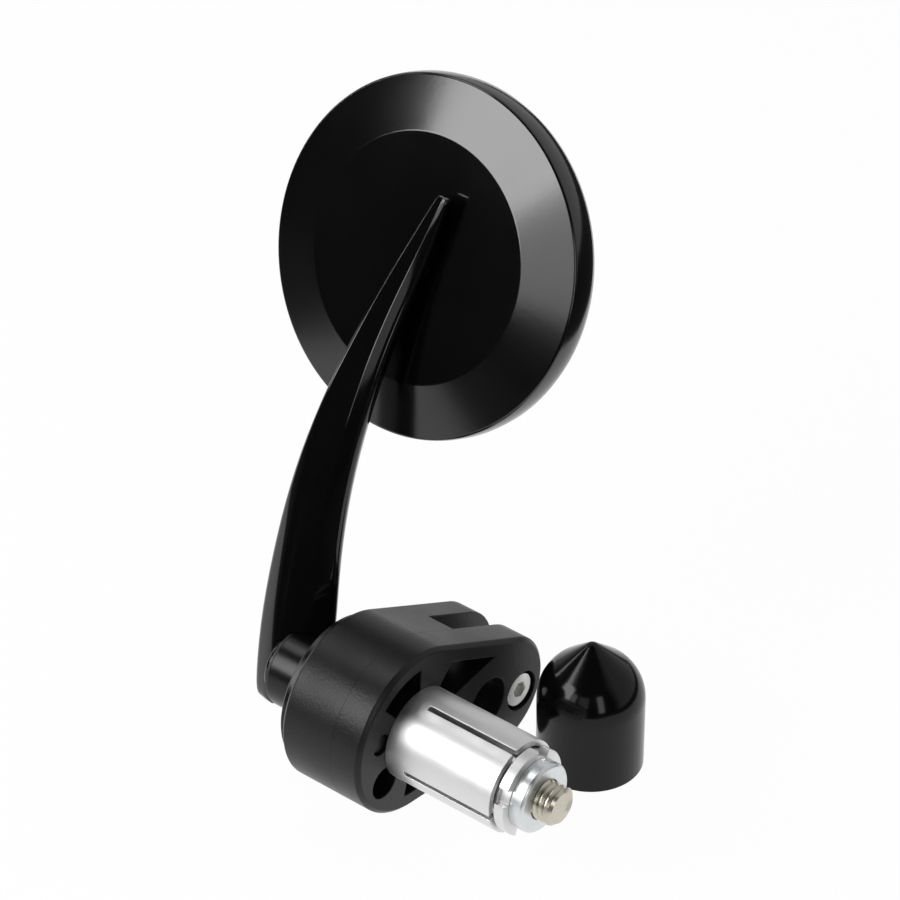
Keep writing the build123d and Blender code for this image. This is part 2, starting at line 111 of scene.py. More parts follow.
# node helpers
def addNode(tree, kind, settings=None, **values):
    node = tree.nodes.new(kind)
    for key, value in (settings or {}).items():
        setattr(node, key, value)
    for key, value in values.items():
        node.inputs[key.replace("_", " ")].default_value = value
    return node


def mathNode(tree, operation, *values):
    node = addNode(tree, "ShaderNodeMath", {"operation": operation})
    for socket, value in zip(node.inputs, values):
        if isinstance(value, (int, float)):
            socket.default_value = value
        else:
            tree.links.new(value, socket)
    return node.outputs[0]


def newGroup(name, inputs, outputs):
    group = bpy.data.node_groups.new(name, "ShaderNodeTree")
    group.interface.new_socket("Vector", in_out="INPUT", socket_type="NodeSocketVector")
    for label, value in inputs.items():
        socket = group.interface.new_socket(label, in_out="INPUT", socket_type="NodeSocketFloat")
        socket.default_value = value
    for label in outputs:
        group.interface.new_socket(label, in_out="OUTPUT", socket_type="NodeSocketFloat")
    return group, group.nodes.new("NodeGroupInput").outputs, group.nodes.new("NodeGroupOutput").inputs


# values inside the shared effects
effects = {
    "grainDetail": 3.0,
    "grainCells": 0.5,
    "cloudDetail": 4.0,
    "cloudFrom": 0.35,
    "cloudTo": 0.65,
    "ringCoarse": 6.2832,
    "ringFine": 15.7,
}


# fine moulded or sprayed grain: a height for a bump and a mask for flecks
def makeGrain(v):
    group, start, end = newGroup("surfaceGrain", {"Scale": 900.0}, ["Height", "Mask"])
    noise = addNode(group, "ShaderNodeTexNoise", Detail=v["grainDetail"])
    cells = addNode(group, "ShaderNodeTexVoronoi", {"feature": "SMOOTH_F1"})
    for pattern in (noise, cells):
        group.links.new(start["Vector"], pattern.inputs["Vector"])
        group.links.new(start["Scale"], pattern.inputs["Scale"])
    pits = mathNode(group, "MULTIPLY", cells.outputs["Distance"], v["grainCells"])
    group.links.new(mathNode(group, "ADD", noise.outputs["Fac"], pits), end["Height"])
    group.links.new(noise.outputs["Fac"], end["Mask"])
    return group


# slow cloudy change of gloss, as handling and polish leave it
def makeCloud(v):
    group, start, end = newGroup("glossCloud", {"Scale": 60.0, "Low": 0.1, "High": 0.2}, ["Value"])
    noise = addNode(group, "ShaderNodeTexNoise", Detail=v["cloudDetail"])
    spread = addNode(group, "ShaderNodeMapRange", From_Min=v["cloudFrom"], From_Max=v["cloudTo"])
    group.links.new(start["Vector"], noise.inputs["Vector"])
    group.links.new(start["Scale"], noise.inputs["Scale"])
    group.links.new(noise.outputs["Fac"], spread.inputs["Value"])
    group.links.new(start["Low"], spread.inputs["To Min"])
    group.links.new(start["High"], spread.inputs["To Max"])
    group.links.new(spread.outputs["Result"], end["Value"])
    return group


# rings that a lathe leaves round the bar's axis, on walls and on end faces
def makeRings(v):
    group, start, end = newGroup("latheRings", {"Pitch": 0.25 * mm}, ["Height"])
    parts = addNode(group, "ShaderNodeSeparateXYZ")
    group.links.new(start["Vector"], parts.inputs[0])
    y2 = mathNode(group, "MULTIPLY", parts.outputs["Y"], parts.outputs["Y"])
    z2 = mathNode(group, "MULTIPLY", parts.outputs["Z"], parts.outputs["Z"])
    radius = mathNode(group, "SQRT", mathNode(group, "ADD", y2, z2))
    along = mathNode(group, "ADD", parts.outputs["X"], radius)
    turns = mathNode(group, "DIVIDE", along, start["Pitch"])
    coarse = mathNode(group, "SINE", mathNode(group, "MULTIPLY", turns, v["ringCoarse"]))
    fine = mathNode(group, "SINE", mathNode(group, "MULTIPLY", turns, v["ringFine"]))
    group.links.new(mathNode(group, "ADD", coarse, fine), end["Height"])
    return group


grainGroup, cloudGroup, ringGroup = makeGrain(effects), makeCloud(effects), makeRings(effects)


def useGroup(tree, group, vector, **values):
    node = addNode(tree, "ShaderNodeGroup", {"node_tree": group}, **values)
    tree.links.new(vector, node.inputs["Vector"])
    return node


def startMaterial(name, look):
    mat = bpy.data.materials.new(name)
    mat.use_nodes = True
    tree = mat.node_tree
    tree.nodes.clear()
    out = tree.nodes.new("ShaderNodeOutputMaterial")
    shader = tree.nodes.new("ShaderNodeBsdfPrincipled")
    tree.links.new(shader.outputs[0], out.inputs[0])
    place = tree.nodes.new("ShaderNodeTexCoord").outputs["Object"]
    shader.inputs["Base Color"].default_value = (*look["colour"], 1)
    shader.inputs["Metallic"].default_value = look.get("metal", 0.0)
    for socket, value in look.get("sockets", {}).items():
        shader.inputs[socket].default_value = value
    return mat, tree, shader, place


def addBump(tree, shader, height, depth):
    bump = addNode(tree, "ShaderNodeBump", Strength=1.0, Distance=depth)
    tree.links.new(height, bump.inputs["Height"])
    tree.links.new(bump.outputs[0], shader.inputs["Normal"])


def cloudValue(tree, place, look):
    low, high = look["gloss"]
    return useGroup(tree, cloudGroup, place, Scale=look["cloud"], Low=low, High=high).outputs["Value"]


# a paint, plastic or metal with grain in its surface
def grainMaterial(name, look):
    mat, tree, shader, place = startMaterial(name, look)
    tree.links.new(cloudValue(tree, place, look), shader.inputs["Roughness"])
    grain = useGroup(tree, grainGroup, place, Scale=look["grain"])
    tint = addNode(tree, "ShaderNodeMix", {"data_type": "RGBA"})
    tint.inputs["A"].default_value = (*look["colour"], 1)
    tint.inputs["B"].default_value = (*look["fleck"], 1)
    tree.links.new(grain.outputs["Mask"], tint.inputs["Factor"])
    tree.links.new(tint.outputs["Result"], shader.inputs["Base Color"])
    addBump(tree, shader, grain.outputs["Height"], look["depth"])
    return mat


# a turned metal with rings round the bar's axis
def turnedMaterial(name, look):
    mat, tree, shader, place = startMaterial(name, look)
    tree.links.new(cloudValue(tree, place, look), shader.inputs["Roughness"])
    rings = useGroup(tree, ringGroup, place, Pitch=look["pitch"])
    grain = useGroup(tree, grainGroup, place, Scale=look["grain"])
    height = mathNode(tree, "ADD", rings.outputs["Height"], grain.outputs["Height"])
    addBump(tree, shader, height, look["depth"])
    return mat


# the head's back: disc a little glossier than the bevel and the rim, by distance from the head's axis
headBack = {
    "colour": (0.001, 0.001, 0.0012),
    "discEdge": discRadius * mm,
    "edgeSoft": 0.25 * mm,
    "disc": 0.11,
    "bevel": 0.16,
    "cloud": 45.0,
    "gloss": (0.9, 1.12),  # shares of the two roughnesses above
    "grain": 1100.0,
    "depth": 0.004 * mm,
    "sockets": {"IOR": 1.6},
}


def headMaterial(name, look):
    mat, tree, shader, place = startMaterial(name, look)
    # turn the pattern so that its Z is the head's axis
    turn = addNode(tree, "ShaderNodeMapping", {"vector_type": "TEXTURE"}, Location=headCentre)
    turn.inputs["Rotation"].default_value = (math.radians(90) - lean, 0, 0)
    flat = addNode(tree, "ShaderNodeVectorMath", {"operation": "MULTIPLY"})
    flat.inputs[1].default_value = (1, 1, 0)
    reach = addNode(tree, "ShaderNodeVectorMath", {"operation": "LENGTH"})
    mask = addNode(
        tree,
        "ShaderNodeMapRange",
        From_Min=look["discEdge"] - look["edgeSoft"],
        From_Max=look["discEdge"] + look["edgeSoft"],
        To_Min=look["disc"],
        To_Max=look["bevel"],
    )
    tree.links.new(place, turn.inputs["Vector"])
    tree.links.new(turn.outputs[0], flat.inputs[0])
    tree.links.new(flat.outputs[0], reach.inputs[0])
    tree.links.new(reach.outputs["Value"], mask.inputs["Value"])
    rough = mathNode(tree, "MULTIPLY", mask.outputs["Result"], cloudValue(tree, place, look))
    tree.links.new(rough, shader.inputs["Roughness"])
    grain = useGroup(tree, grainGroup, place, Scale=look["grain"])
    addBump(tree, shader, grain.outputs["Height"], look["depth"])
    return mat


looks = {
    "glossPaint": {
        "colour": (0.0014, 0.0014, 0.0017), "fleck": (0.002, 0.002, 0.0024),
        "cloud": 40.0, "gloss": (0.07, 0.12), "grain": 300.0, "depth": 0.0015 * mm,
    },
    "postPaint": {
        "colour": (0.0016, 0.0016, 0.0018), "fleck": (0.0024, 0.0024, 0.0027),
        "cloud": 60.0, "gloss": (0.24, 0.3), "grain": 600.0, "depth": 0.002 * mm,
        "sockets": {"Specular IOR Level": 0.32},
    },
    "bodyPlastic": {
        "colour": (0.0036, 0.0036, 0.0042), "fleck": (0.0075, 0.0075, 0.0082),
        "cloud": 70.0, "gloss": (0.34, 0.41), "grain": 2200.0, "depth": 0.03 * mm,
        "sockets": {"Specular IOR Level": 0.3},
    },
    "pinPlastic": {
        "colour": (0.01, 0.01, 0.011), "fleck": (0.016, 0.016, 0.017),
        "cloud": 90.0, "gloss": (0.4, 0.5), "grain": 1800.0, "depth": 0.02 * mm,
    },
    "zincPlate": {
        "colour": (0.66, 0.69, 0.7), "fleck": (0.76, 0.78, 0.78), "metal": 1.0,
        "cloud": 220.0, "gloss": (0.26, 0.4), "grain": 1400.0, "depth": 0.01 * mm,
    },
    "yellowZinc": {
        "colour": (0.5, 0.465, 0.38), "fleck": (0.62, 0.59, 0.51), "metal": 1.0,
        "cloud": 260.0, "gloss": (0.22, 0.34), "grain": 1400.0, "depth": 0.008 * mm,
    },
    "stainless": {
        "colour": (0.8, 0.8, 0.77), "fleck": (0.88, 0.88, 0.86), "metal": 1.0,
        "cloud": 240.0, "gloss": (0.34, 0.44), "grain": 1200.0, "depth": 0.006 * mm,
    },
    # nylon coloured near black: painted shade on the ball seat, whose sliver shows through the neck's
    # hole behind the arm
    "nylon": {
        "colour": (0.012, 0.012, 0.012), "fleck": (0.02, 0.02, 0.02),
        "cloud": 120.0, "gloss": (0.4, 0.5), "grain": 900.0, "depth": 0.01 * mm,
    },
    "foam": {
        "colour": (0.02, 0.02, 0.02), "fleck": (0.045, 0.045, 0.045),
        "cloud": 120.0, "gloss": (0.85, 0.95), "grain": 1600.0, "depth": 0.08 * mm,
    },
    "silverGlass": {
        "colour": (0.88, 0.9, 0.91), "fleck": (0.9, 0.92, 0.93), "metal": 1.0,
        "cloud": 30.0, "gloss": (0.01, 0.025), "grain": 60.0, "depth": 0.0005 * mm,
    },
    "dippedVinyl": {
        "colour": (0.002, 0.002, 0.0024), "fleck": (0.003, 0.003, 0.0035),
        "cloud": 50.0, "gloss": (0.12, 0.18), "grain": 260.0, "depth": 0.006 * mm,
        "sockets": {"Specular IOR Level": 0.24},
    },
}
alloyLook = {
    "colour": (0.76, 0.755, 0.755), "metal": 1.0, "cloud": 180.0, "gloss": (0.4, 0.5),
    "pitch": 0.32 * mm, "grain": 1500.0, "depth": 0.0006 * mm,
}
finishes = {name: grainMaterial(name, look) for name, look in looks.items()}
finishes["turnedAlloy"] = turnedMaterial("turnedAlloy", alloyLook)
finishes["headPaint"] = headMaterial("headPaint", headBack)
print("materials made:", len(finishes))

# finish of each CAD node
nodeFinish = {
    "inner_half": "bodyPlastic", "outer_half": "bodyPlastic", "locating_pins": "pinPlastic",
    "lug_screw": "stainless", "lug_nut": "zincPlate", "pivot_post": "postPaint",
    "swivel_screw": "zincPlate", "friction_washer": "pinPlastic", "bolt_washer": "zincPlate",
    "main_bolt": "yellowZinc", "expander_sleeve": "turnedAlloy", "expander_cone": "turnedAlloy",
    "cone_nut": "zincPlate", "arm": "glossPaint", "ball_stud": "glossPaint", "ball_seat": "nylon",
    "head_shell": "headPaint", "socket_plate": "zincPlate", "plate_screws": "zincPlate",
    "foam_pad": "foam", "mirror_glass": "silverGlass", "insert_cap": "dippedVinyl",
}
for name, finish in nodeFinish.items():
    for each in nodes[name].material_slots:
        each.material = finishes[finish]
print("finishes set on CAD nodes")

bodies = frame["record"]["behaviour"]["bodies"]
nodeBody = {node: body for body, members in bodies.items() for node in members}


def addPiece(bm, name, node, smoothAngle):
    piece = meshObject(bm, name)
    mesh = piece.data
    for layer in [a for a in mesh.attributes if a.name == "custom_normal"]:
        mesh.attributes.remove(layer)
    mesh.materials.append(finishes[nodeFinish[node]])
    mesh.shade_smooth()
    mesh.set_sharp_from_angle(angle=math.radians(smoothAngle))
    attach(piece, nodeBody[node])
    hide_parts(node)
    return piece


def evenShading(piece):
    even = piece.modifiers.new("even", "WEIGHTED_NORMAL")
    even.keep_sharp = True


def roundOff(bm, geom, width, segments, affect):
    bmesh.ops.bevel(
        bm, geom=geom, offset=width, offset_type="OFFSET", affect=affect,
        segments=segments, profile=0.5, material=-1, clamp_overlap=False,
    )


# an outline of places along the bar and radii, drawn to be spun round the bar's axis
def drawOutline(bm, outline):
    points = [bm.verts.new((x, r, 0)) for x, r in outline]
    return points + [bm.edges.new(pair) for pair in zip(points, points[1:])]


def spinOutline(bm, outline, steps):
    bmesh.ops.spin(
        bm, geom=drawOutline(bm, outline), cent=(0, 0, 0), axis=barAxis,
        angle=math.tau, steps=steps, use_merge=True,
    )
    bmesh.ops.remove_doubles(bm, verts=bm.verts, dist=spinGap)


# moulded and machined pieces whose edges are broken: copies of the CAD meshes, merged and bevelled
softened = [
    {"node": "inner_half", "name": "bodyInner", "width": 0.22, "angle": 30, "seamAt": -6.8},
    {"node": "outer_half", "name": "bodyOuter", "width": 0.22, "angle": 30, "seamAt": -6.8},
    {"node": "pivot_post", "name": "swivelPost", "width": 0.05, "angle": 25},
    {"node": "expander_sleeve", "name": "slottedSleeve", "width": 0.1, "angle": 30},
    {"node": "expander_cone", "name": "notchedCone", "width": 0.12, "angle": 30},
    {"node": "cone_nut", "name": "coneNut", "width": 0.15, "angle": 30},
    {"node": "lug_screw", "name": "lugScrew", "width": 0.16, "angle": 35},
]
softening = {"segments": 2, "seamWidth": 0.04, "flatAngle": 0.4, "smooth": 50}


def softenEdges(v, how):
    bm = bmesh.new()
    bm.from_mesh(nodes[v["node"]].data)
    bmesh.ops.remove_doubles(bm, verts=bm.verts, dist=mergeGap)
    flat = math.radians(how["flatAngle"])
    bmesh.ops.dissolve_limit(bm, angle_limit=flat, verts=bm.verts, edges=bm.edges)
    limit = math.radians(v["angle"])
    sharp = [e for e in bm.edges if e.is_manifold and e.calc_face_angle() > limit]
    # the parting between the two halves gets a finer bevel than the other edges
    seam = []
    if "seamAt" in v:
        seam = [e for e in sharp if all(abs(p.co.x - v["seamAt"] * mm) < nearGap for p in e.verts)]
    others = [e for e in sharp if e not in seam]
    for edges, width in ((seam, how["seamWidth"]), (others, v["width"])):
        edges = [e for e in edges if e.is_valid]
        if edges:
            roundOff(bm, edges, width * mm, how["segments"], "EDGES")
    evenShading(addPiece(bm, v["name"], v["node"], how["smooth"]))


for each in softened:
    softenEdges(each, softening)
print("edges softened:", len(softened))

# head: a spun shell with broken edges, whose disc has the ball's neck a little off the middle
headForm = {
    "discInner": 21.7,  # from here in, the disc is bridged to the neck's hole
    "discRadius": discRadius,
    "discRise": 2.3,
    "wall": 1.6,
    "radius": 34.3,
    "rim": [(34.52, -1.6), (34.55, -3.4), (34.25, -5.4), (33.5, -7.2), (32.4, -8.2)],
    "lip": 31.1,
    "glassBack": -5.7,
    "seat": 29.45,
    "seatTop": -0.55,
    "hole": 3.0,
    "ballAcross": -29.8,
    "steps": 144,
    "broken": [(1, 0.2), (2, 0.45), (7, 0.45), (8, 0.2)],  # corner of the outline, width
    "brokenSteps": 4,
    "smooth": 40,
}


def makeHead(v):
    inside = v["discRise"] - v["wall"]
    outline = [(v["discInner"], v["discRise"]), (v["discRadius"], v["discRise"]), (v["radius"], 0)]
    outline += v["rim"]
    outline += [(v["lip"], v["rim"][-1][1]), (v["lip"], v["glassBack"]), (v["seat"], v["glassBack"])]
    outline += [(v["seat"], v["seatTop"]), (v["discRadius"], inside), (v["discInner"], inside)]
    # drawn as a face through the head's axis, so that its corners can be bevelled
    bm = bmesh.new()
    points = [bm.verts.new(headCentre + Vector((r * mm, 0, 0)) + headOut * n * mm) for r, n in outline]
    bm.faces.new(points)
    for corner, width in v["broken"]:
        roundOff(bm, [points[corner]], width * mm, v["brokenSteps"], "VERTICES")
    # only the outline is spun, open at the disc's inner end
    bmesh.ops.delete(bm, geom=bm.faces[:], context="FACES_ONLY")
    ends = [q for q in bm.verts if abs((q.co - headCentre).x - v["discInner"] * mm) < nearGap]
    across = [e for e in bm.edges if all(q in ends for q in e.verts)]
    bmesh.ops.delete(bm, geom=across, context="EDGES")
    bmesh.ops.spin(
        bm, geom=bm.verts[:] + bm.edges[:], cent=headCentre, axis=headOut,
        angle=math.tau, steps=v["steps"], use_merge=True,
    )
    bmesh.ops.remove_doubles(bm, verts=bm.verts, dist=mergeGap)
    # the disc and its underside, each bridged to the neck's hole
    neck = Vector((v["ballAcross"] * mm, headCentre.y, headCentre.z))
    turn = headOut.to_track_quat("Z", "Y").to_matrix().to_4x4()
    rings = []
    for level in (v["discRise"], inside):
        hem = [e for e in bm.edges if e.is_boundary]
        hem = [e for e in hem if abs((e.verts[0].co - headCentre).dot(headOut) - level * mm) < nearGap]
        made = bmesh.ops.create_circle(
            bm, segments=v["steps"], radius=v["hole"] * mm,
            matrix=Matrix.Translation(neck + headOut * level * mm) @ turn,
        )
        ring = list({e for q in made["verts"] for e in q.link_edges})
        bmesh.ops.bridge_loops(bm, edges=hem + ring)
        rings += ring
    bmesh.ops.bridge_loops(bm, edges=rings)
    bmesh.ops.recalc_face_normals(bm, faces=bm.faces)
    evenShading(addPiece(bm, "headBackShell", "head_shell", v["smooth"]))


makeHead(headForm)
print("head spun")


# arm: sections along the bow with a soft left edge and a ridge, bridged, smoothed and cut
armForm = {
    # height, across, outward, chord, thickness, twist, run of the left edge,
    # and the fall of the face to the left and to the right of the ridge
    "rows": [
        (-7.6, -29.6, 0.0, 13.0, 6.4, 40.0, 2.8, 1, 1),
        (6.0, -31.36, 0.0, 14.9, 6.4, 40.0, 2.8, 2, 1),
        (19.97, -33.29, 0.6, 13.1, 6.4, 37.0, 2.5, 9, 2),
        (33.91, -33.83, 1.6, 11.8, 6.0, 32.0, 1.9, 22, 3),
        (47.85, -33.22, 2.0, 10.5, 5.4, 26.0, 1.2, 28, 5),
        (61.88, -32.14, 1.0, 8.9, 4.7, 19.0, 0.8, 29, 10),
        (73.84, -30.94, -1.0, 7.6, 4.0, 12.0, 0.6, 25, 16),
        (82.5, -29.3, -2.2, 6.5, 3.4, 6.0, 0.5, 20, 19),
        (96.3, -26.2, -2.2, 3.0, 1.7, 0.0, 0.3, 8, 8),
    ],
    "side": 0.22,  # height of the left side, as a share of the thickness
    "ridge": 0.3,  # place of the ridge, as a share of half the chord
    "round": [0.04, 0.3, 0.3, 0.16, 0.45, 0.45],  # of each corner, as a share of the thickness
    "roundLimit": 0.42,  # and at most this share of the shorter edge beside it
    "roundSteps": 3,
    "endInset": [1.024, 0.272],  # foot and tip
    "smoothLevels": 2,
    "seat": -31.0,
    "room": 8.2,
    "roomSteps": 96,
    "cutSize": 30.0,
    "stub": [  # rounded root, then the groove that the grub screw runs in
        (-32.6, 0), (-32.6, 5.75), (-32.54, 6.1), (-32.36, 6.38), (-32.1, 6.52), (-31.8, 6.55),
        (-30.46, 6.55), (-30.46, 5.79), (-27.34, 5.79), (-27.34, 6.55), (-27.2, 6.55), (-27.2, 0),
    ],
    "stubSteps": 64,
    "smooth": 35,
}


def armSection(bm, row, v):
    height, across, outward, chord, thick, twist, run, fallLeft, fallRight = row
    a = math.radians(twist)
    wide = Vector((math.cos(a), 0, 0)) - headOut * math.sin(a)
    deep = Vector((math.sin(a), 0, 0)) + headOut * math.cos(a)
    middle = Vector((across, 0, 0)) + headUp * height + headOut * outward
    h, k = chord / 2, thick / 2
    r = v["ridge"] * h
    low = -k + v["side"] * thick
    leftTop = k - (r + h - run) * math.tan(math.radians(fallLeft))
    rightTop = k - (h - r) * math.tan(math.radians(fallRight))
    corners = [(r, k), (h, rightTop), (h, -k), (-h, -k), (-h, low), (-h + run, leftTop)]
    points = [bm.verts.new((middle + wide * s + deep * t) * mm) for s, t in corners]
    bm.faces.new(points)
    most = {p: v["roundLimit"] * min(e.calc_length() for e in p.link_edges) for p in points}
    for point, share in zip(points, v["round"]):
        roundOff(bm, [point], min(share * thick * mm, most[point]), v["roundSteps"], "VERTICES")


def bakeModifiers(obj):
    shown = obj.evaluated_get(bpy.context.evaluated_depsgraph_get())
    mesh = bpy.data.meshes.new_from_object(shown)
    bpy.data.objects.remove(obj)
    return mesh


def makeArm(v):
    bm = bmesh.new()
    for row in v["rows"]:
        armSection(bm, row, v)
    sections = sorted(bm.faces, key=lambda f: f.calc_center_median().dot(headUp))
    loops = [list(f.edges) for f in sections]
    for low, high in zip(loops, loops[1:]):
        bmesh.ops.bridge_loops(bm, edges=low + high)
    bmesh.ops.delete(bm, geom=sections[1:-1], context="FACES_ONLY")
    for end, inset in zip((sections[0], sections[-1]), v["endInset"]):
        bmesh.ops.inset_region(bm, faces=[end], thickness=inset * mm)
    bmesh.ops.recalc_face_normals(bm, faces=bm.faces)
    blade = meshObject(bm, "blade")
    smooth = blade.modifiers.new("smooth", "SUBSURF")
    smooth.levels = smooth.render_levels = v["smoothLevels"]
    # room for the post round the axis, and for the body below it
    size, radius = v["cutSize"] * mm, v["room"] * mm
    middle = v["seat"] * mm + size / 2
    bm = bmesh.new()
    bmesh.ops.create_cone(
        bm, cap_ends=True, segments=v["roomSteps"], radius1=radius, radius2=radius, depth=size,
        matrix=Matrix.Translation((middle, 0, 0)) @ Matrix.Rotation(math.radians(90), 4, "Y"),
    )
    cutters = [meshObject(bm, "postRoom")]
    bm = bmesh.new()
    bmesh.ops.create_cube(bm, size=size)
    bmesh.ops.translate(bm, verts=bm.verts, vec=(middle, 0, -size / 2))
    bmesh.ops.rotate(bm, verts=bm.verts, cent=(0, 0, 0), matrix=Matrix.Rotation(-lean, 3, "X"))
    cutters.append(meshObject(bm, "bodyRoom"))
    for cutter in cutters:
        cut = blade.modifiers.new(cutter.name, "BOOLEAN")
        cut.operation, cut.solver, cut.object = "DIFFERENCE", "MANIFOLD", cutter
    mesh = bakeModifiers(blade)
    for cutter in cutters:
        bpy.data.objects.remove(cutter)
    # stub that turns in the post
    bm = bmesh.new()
    bm.from_mesh(mesh)
    bpy.data.meshes.remove(mesh)
    spinOutline(bm, [(x * mm, r * mm) for x, r in v["stub"]], v["stubSteps"])
    bmesh.ops.recalc_face_normals(bm, faces=bm.faces)
    addPiece(bm, "bowedArm", "arm", v["smooth"])


makeArm(armForm)
print("arm bridged")


# main bolt: head and shank turned, thread swept as a helix, end face filled
boltLook = {
    "root": 3.35,
    "crest": 3.95,
    "pitch": 1.25,
    "flat": 0.16,
    "turns": 7,
    "steps": 48,
    "chamfer": 0.55,
    "headHigh": 3.0,
    "headRadius": 6.5,
    "edge": 0.3,
    "smooth": 40,
}


def makeBolt(v):
    low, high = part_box("main_bolt")
    start, finish = low[0], high[0]
    root, crest, pitch = v["root"] * mm, v["crest"] * mm, v["pitch"] * mm
    headRadius, edge = v["headRadius"] * mm, v["edge"] * mm
    threadFrom = finish - v["turns"] * pitch
    headTo = start + v["headHigh"] * mm
    bm = bmesh.new()
    outline = [
        (start, 0), (start, headRadius - edge), (start + edge, headRadius), (headTo, headRadius),
        (headTo, crest), (threadFrom, crest), (threadFrom, 0),
    ]
    spinOutline(bm, outline, v["steps"])
    # one pitch of the thread, from root to root, swept one turn more than shows
    thread = bmesh.new()
    begin, half, flat = threadFrom - pitch, pitch / 2, v["flat"] * mm / 2
    ridge = [
        (begin, root), (begin + half - flat, crest),
        (begin + half + flat, crest), (begin + pitch, root),
    ]
    turns = v["turns"] + 1
    bmesh.ops.spin(
        thread, geom=drawOutline(thread, ridge), cent=(0, 0, 0), axis=barAxis,
        dvec=(pitch / v["steps"], 0, 0), angle=math.tau * turns, steps=v["steps"] * turns,
    )
    bmesh.ops.remove_doubles(thread, verts=thread.verts, dist=mergeGap)
    # cut to length and drawn in to a flat end face
    cut = finish - v["chamfer"] * mm
    bmesh.ops.bisect_plane(
        thread, geom=thread.verts[:] + thread.edges[:] + thread.faces[:],
        plane_co=(cut, 0, 0), plane_no=barAxis, clear_outer=True,
    )
    rim = [e for e in thread.edges if e.is_boundary]
    rim = [e for e in rim if all(abs(p.co.x - cut) < nearGap for p in e.verts)]
    grown = bmesh.ops.extrude_edge_only(thread, edges=rim)["geom"]
    tops = [g for g in grown if isinstance(g, bmesh.types.BMVert)]
    endRadius = root - v["chamfer"] * mm / 3
    for vert in tops:
        vert.co.x = finish
        shrink = min(1.0, endRadius / math.hypot(vert.co.y, vert.co.z))
        vert.co.y, vert.co.z = vert.co.y * shrink, vert.co.z * shrink
    endLines = [g for g in grown if isinstance(g, bmesh.types.BMEdge)]
    endLines = [g for g in endLines if all(p in tops for p in g.verts)]
    bmesh.ops.contextual_create(thread, geom=endLines)
    joined = bpy.data.meshes.new("threadPart")
    thread.to_mesh(joined)
    thread.free()
    bm.from_mesh(joined)
    bpy.data.meshes.remove(joined)
    bmesh.ops.recalc_face_normals(bm, faces=bm.faces)
    addPiece(bm, "threadedBolt", "main_bolt", v["smooth"])


makeBolt(boltLook)
print("bolt threaded")


# floor: glowing white under the object and paler further out, a painted pool of light, with a faint
# shadow
floorLook = {
    "radius": 3.0,
    "steps": 96,
    "level": -20.25 * mm,
    "paper": 0.9,
    "white": 1.0,
    "pale": 0.8,
    "nearEdge": 0.6,
    "farEdge": 2.5,
    "keepWhite": 0.97,
}


def makeFloor(v):
    bm = bmesh.new()
    bmesh.ops.create_circle(bm, cap_ends=True, segments=v["steps"], radius=v["radius"])
    bmesh.ops.translate(bm, verts=bm.verts, vec=(0, 0, v["level"]))
    floor = meshObject(bm, "floor")
    mat = bpy.data.materials.new("floorPaper")
    mat.use_nodes = True
    tree = mat.node_tree
    tree.nodes.clear()
    out = tree.nodes.new("ShaderNodeOutputMaterial")
    paper = addNode(tree, "ShaderNodeBsdfDiffuse", Color=(v["paper"], v["paper"], v["paper"], 1))
    glow = tree.nodes.new("ShaderNodeEmission")
    mix = tree.nodes.new("ShaderNodeMixShader")
    rays = tree.nodes.new("ShaderNodeLightPath").outputs
    place = tree.nodes.new("ShaderNodeTexCoord").outputs["Object"]
    reach = addNode(tree, "ShaderNodeVectorMath", {"operation": "LENGTH"})
    # the glow fades from white to pale with distance from the middle: a painted pool of light
    fade = addNode(
        tree,
        "ShaderNodeMapRange",
        From_Min=v["nearEdge"],
        From_Max=v["farEdge"],
        To_Min=v["white"],
        To_Max=v["pale"],
    )
    tree.links.new(place, reach.inputs[0])
    tree.links.new(reach.outputs["Value"], fade.inputs["Value"])
    tree.links.new(fade.outputs["Result"], glow.inputs["Strength"])
    seen = mathNode(tree, "MAXIMUM", rays["Is Camera Ray"], rays["Is Glossy Ray"])
    seen = mathNode(tree, "MAXIMUM", seen, rays["Is Transmission Ray"])
    tree.links.new(mathNode(tree, "MULTIPLY", seen, v["keepWhite"]), mix.inputs[0])
    tree.links.new(paper.outputs[0], mix.inputs[1])
    tree.links.new(glow.outputs[0], mix.inputs[2])
    tree.links.new(mix.outputs[0], out.inputs[0])
    floor.data.materials.append(mat)


makeFloor(floorLook)

# dark cloths round the white floor, which only reflections see
cloths = [
    {"name": "leftCloth", "across": (-2.9, -0.27), "depth": (-2.9, 2.9), "colour": 0.012},
    {"name": "rightCloth", "across": (0.13, 2.9), "depth": (-2.9, 2.9), "colour": 0.05},
    {"name": "nearCloth", "across": (-0.27, 0.13), "depth": (-2.9, -0.12), "colour": 0.012},
]
clothSpread = {"turn": 39.34, "level": floorLook["level"] + 0.5 * mm, "rough": 0.9}


def makeCloth(v, spread):
    bm = bmesh.new()
    bmesh.ops.create_grid(bm, x_segments=1, y_segments=1, size=0.5)
    left, right = v["across"]
    near, far = v["depth"]
    middle = ((left + right) / 2, (near + far) / 2, spread["level"])
    bmesh.ops.scale(bm, verts=bm.verts, vec=(right - left, far - near, 1))
    bmesh.ops.translate(bm, verts=bm.verts, vec=middle)
    turn = Matrix.Rotation(math.radians(spread["turn"]), 3, "Z")
    bmesh.ops.rotate(bm, verts=bm.verts, cent=(0, 0, 0), matrix=turn)
    cloth = meshObject(bm, v["name"])
    mat = bpy.data.materials.new(v["name"])
    mat.use_nodes = True
    shader = mat.node_tree.nodes["Principled BSDF"]
    shader.inputs["Base Color"].default_value = (v["colour"], v["colour"], v["colour"], 1)
    shader.inputs["Roughness"].default_value = spread["rough"]
    cloth.data.materials.append(mat)
    cloth.visible_camera = cloth.visible_diffuse = cloth.visible_shadow = False


for each in cloths:
    makeCloth(each, clothSpread)

# room: white behind the object and dark in front
roomLight = {"front": 0.03, "back": 0.8, "from": -0.1, "to": 0.35}


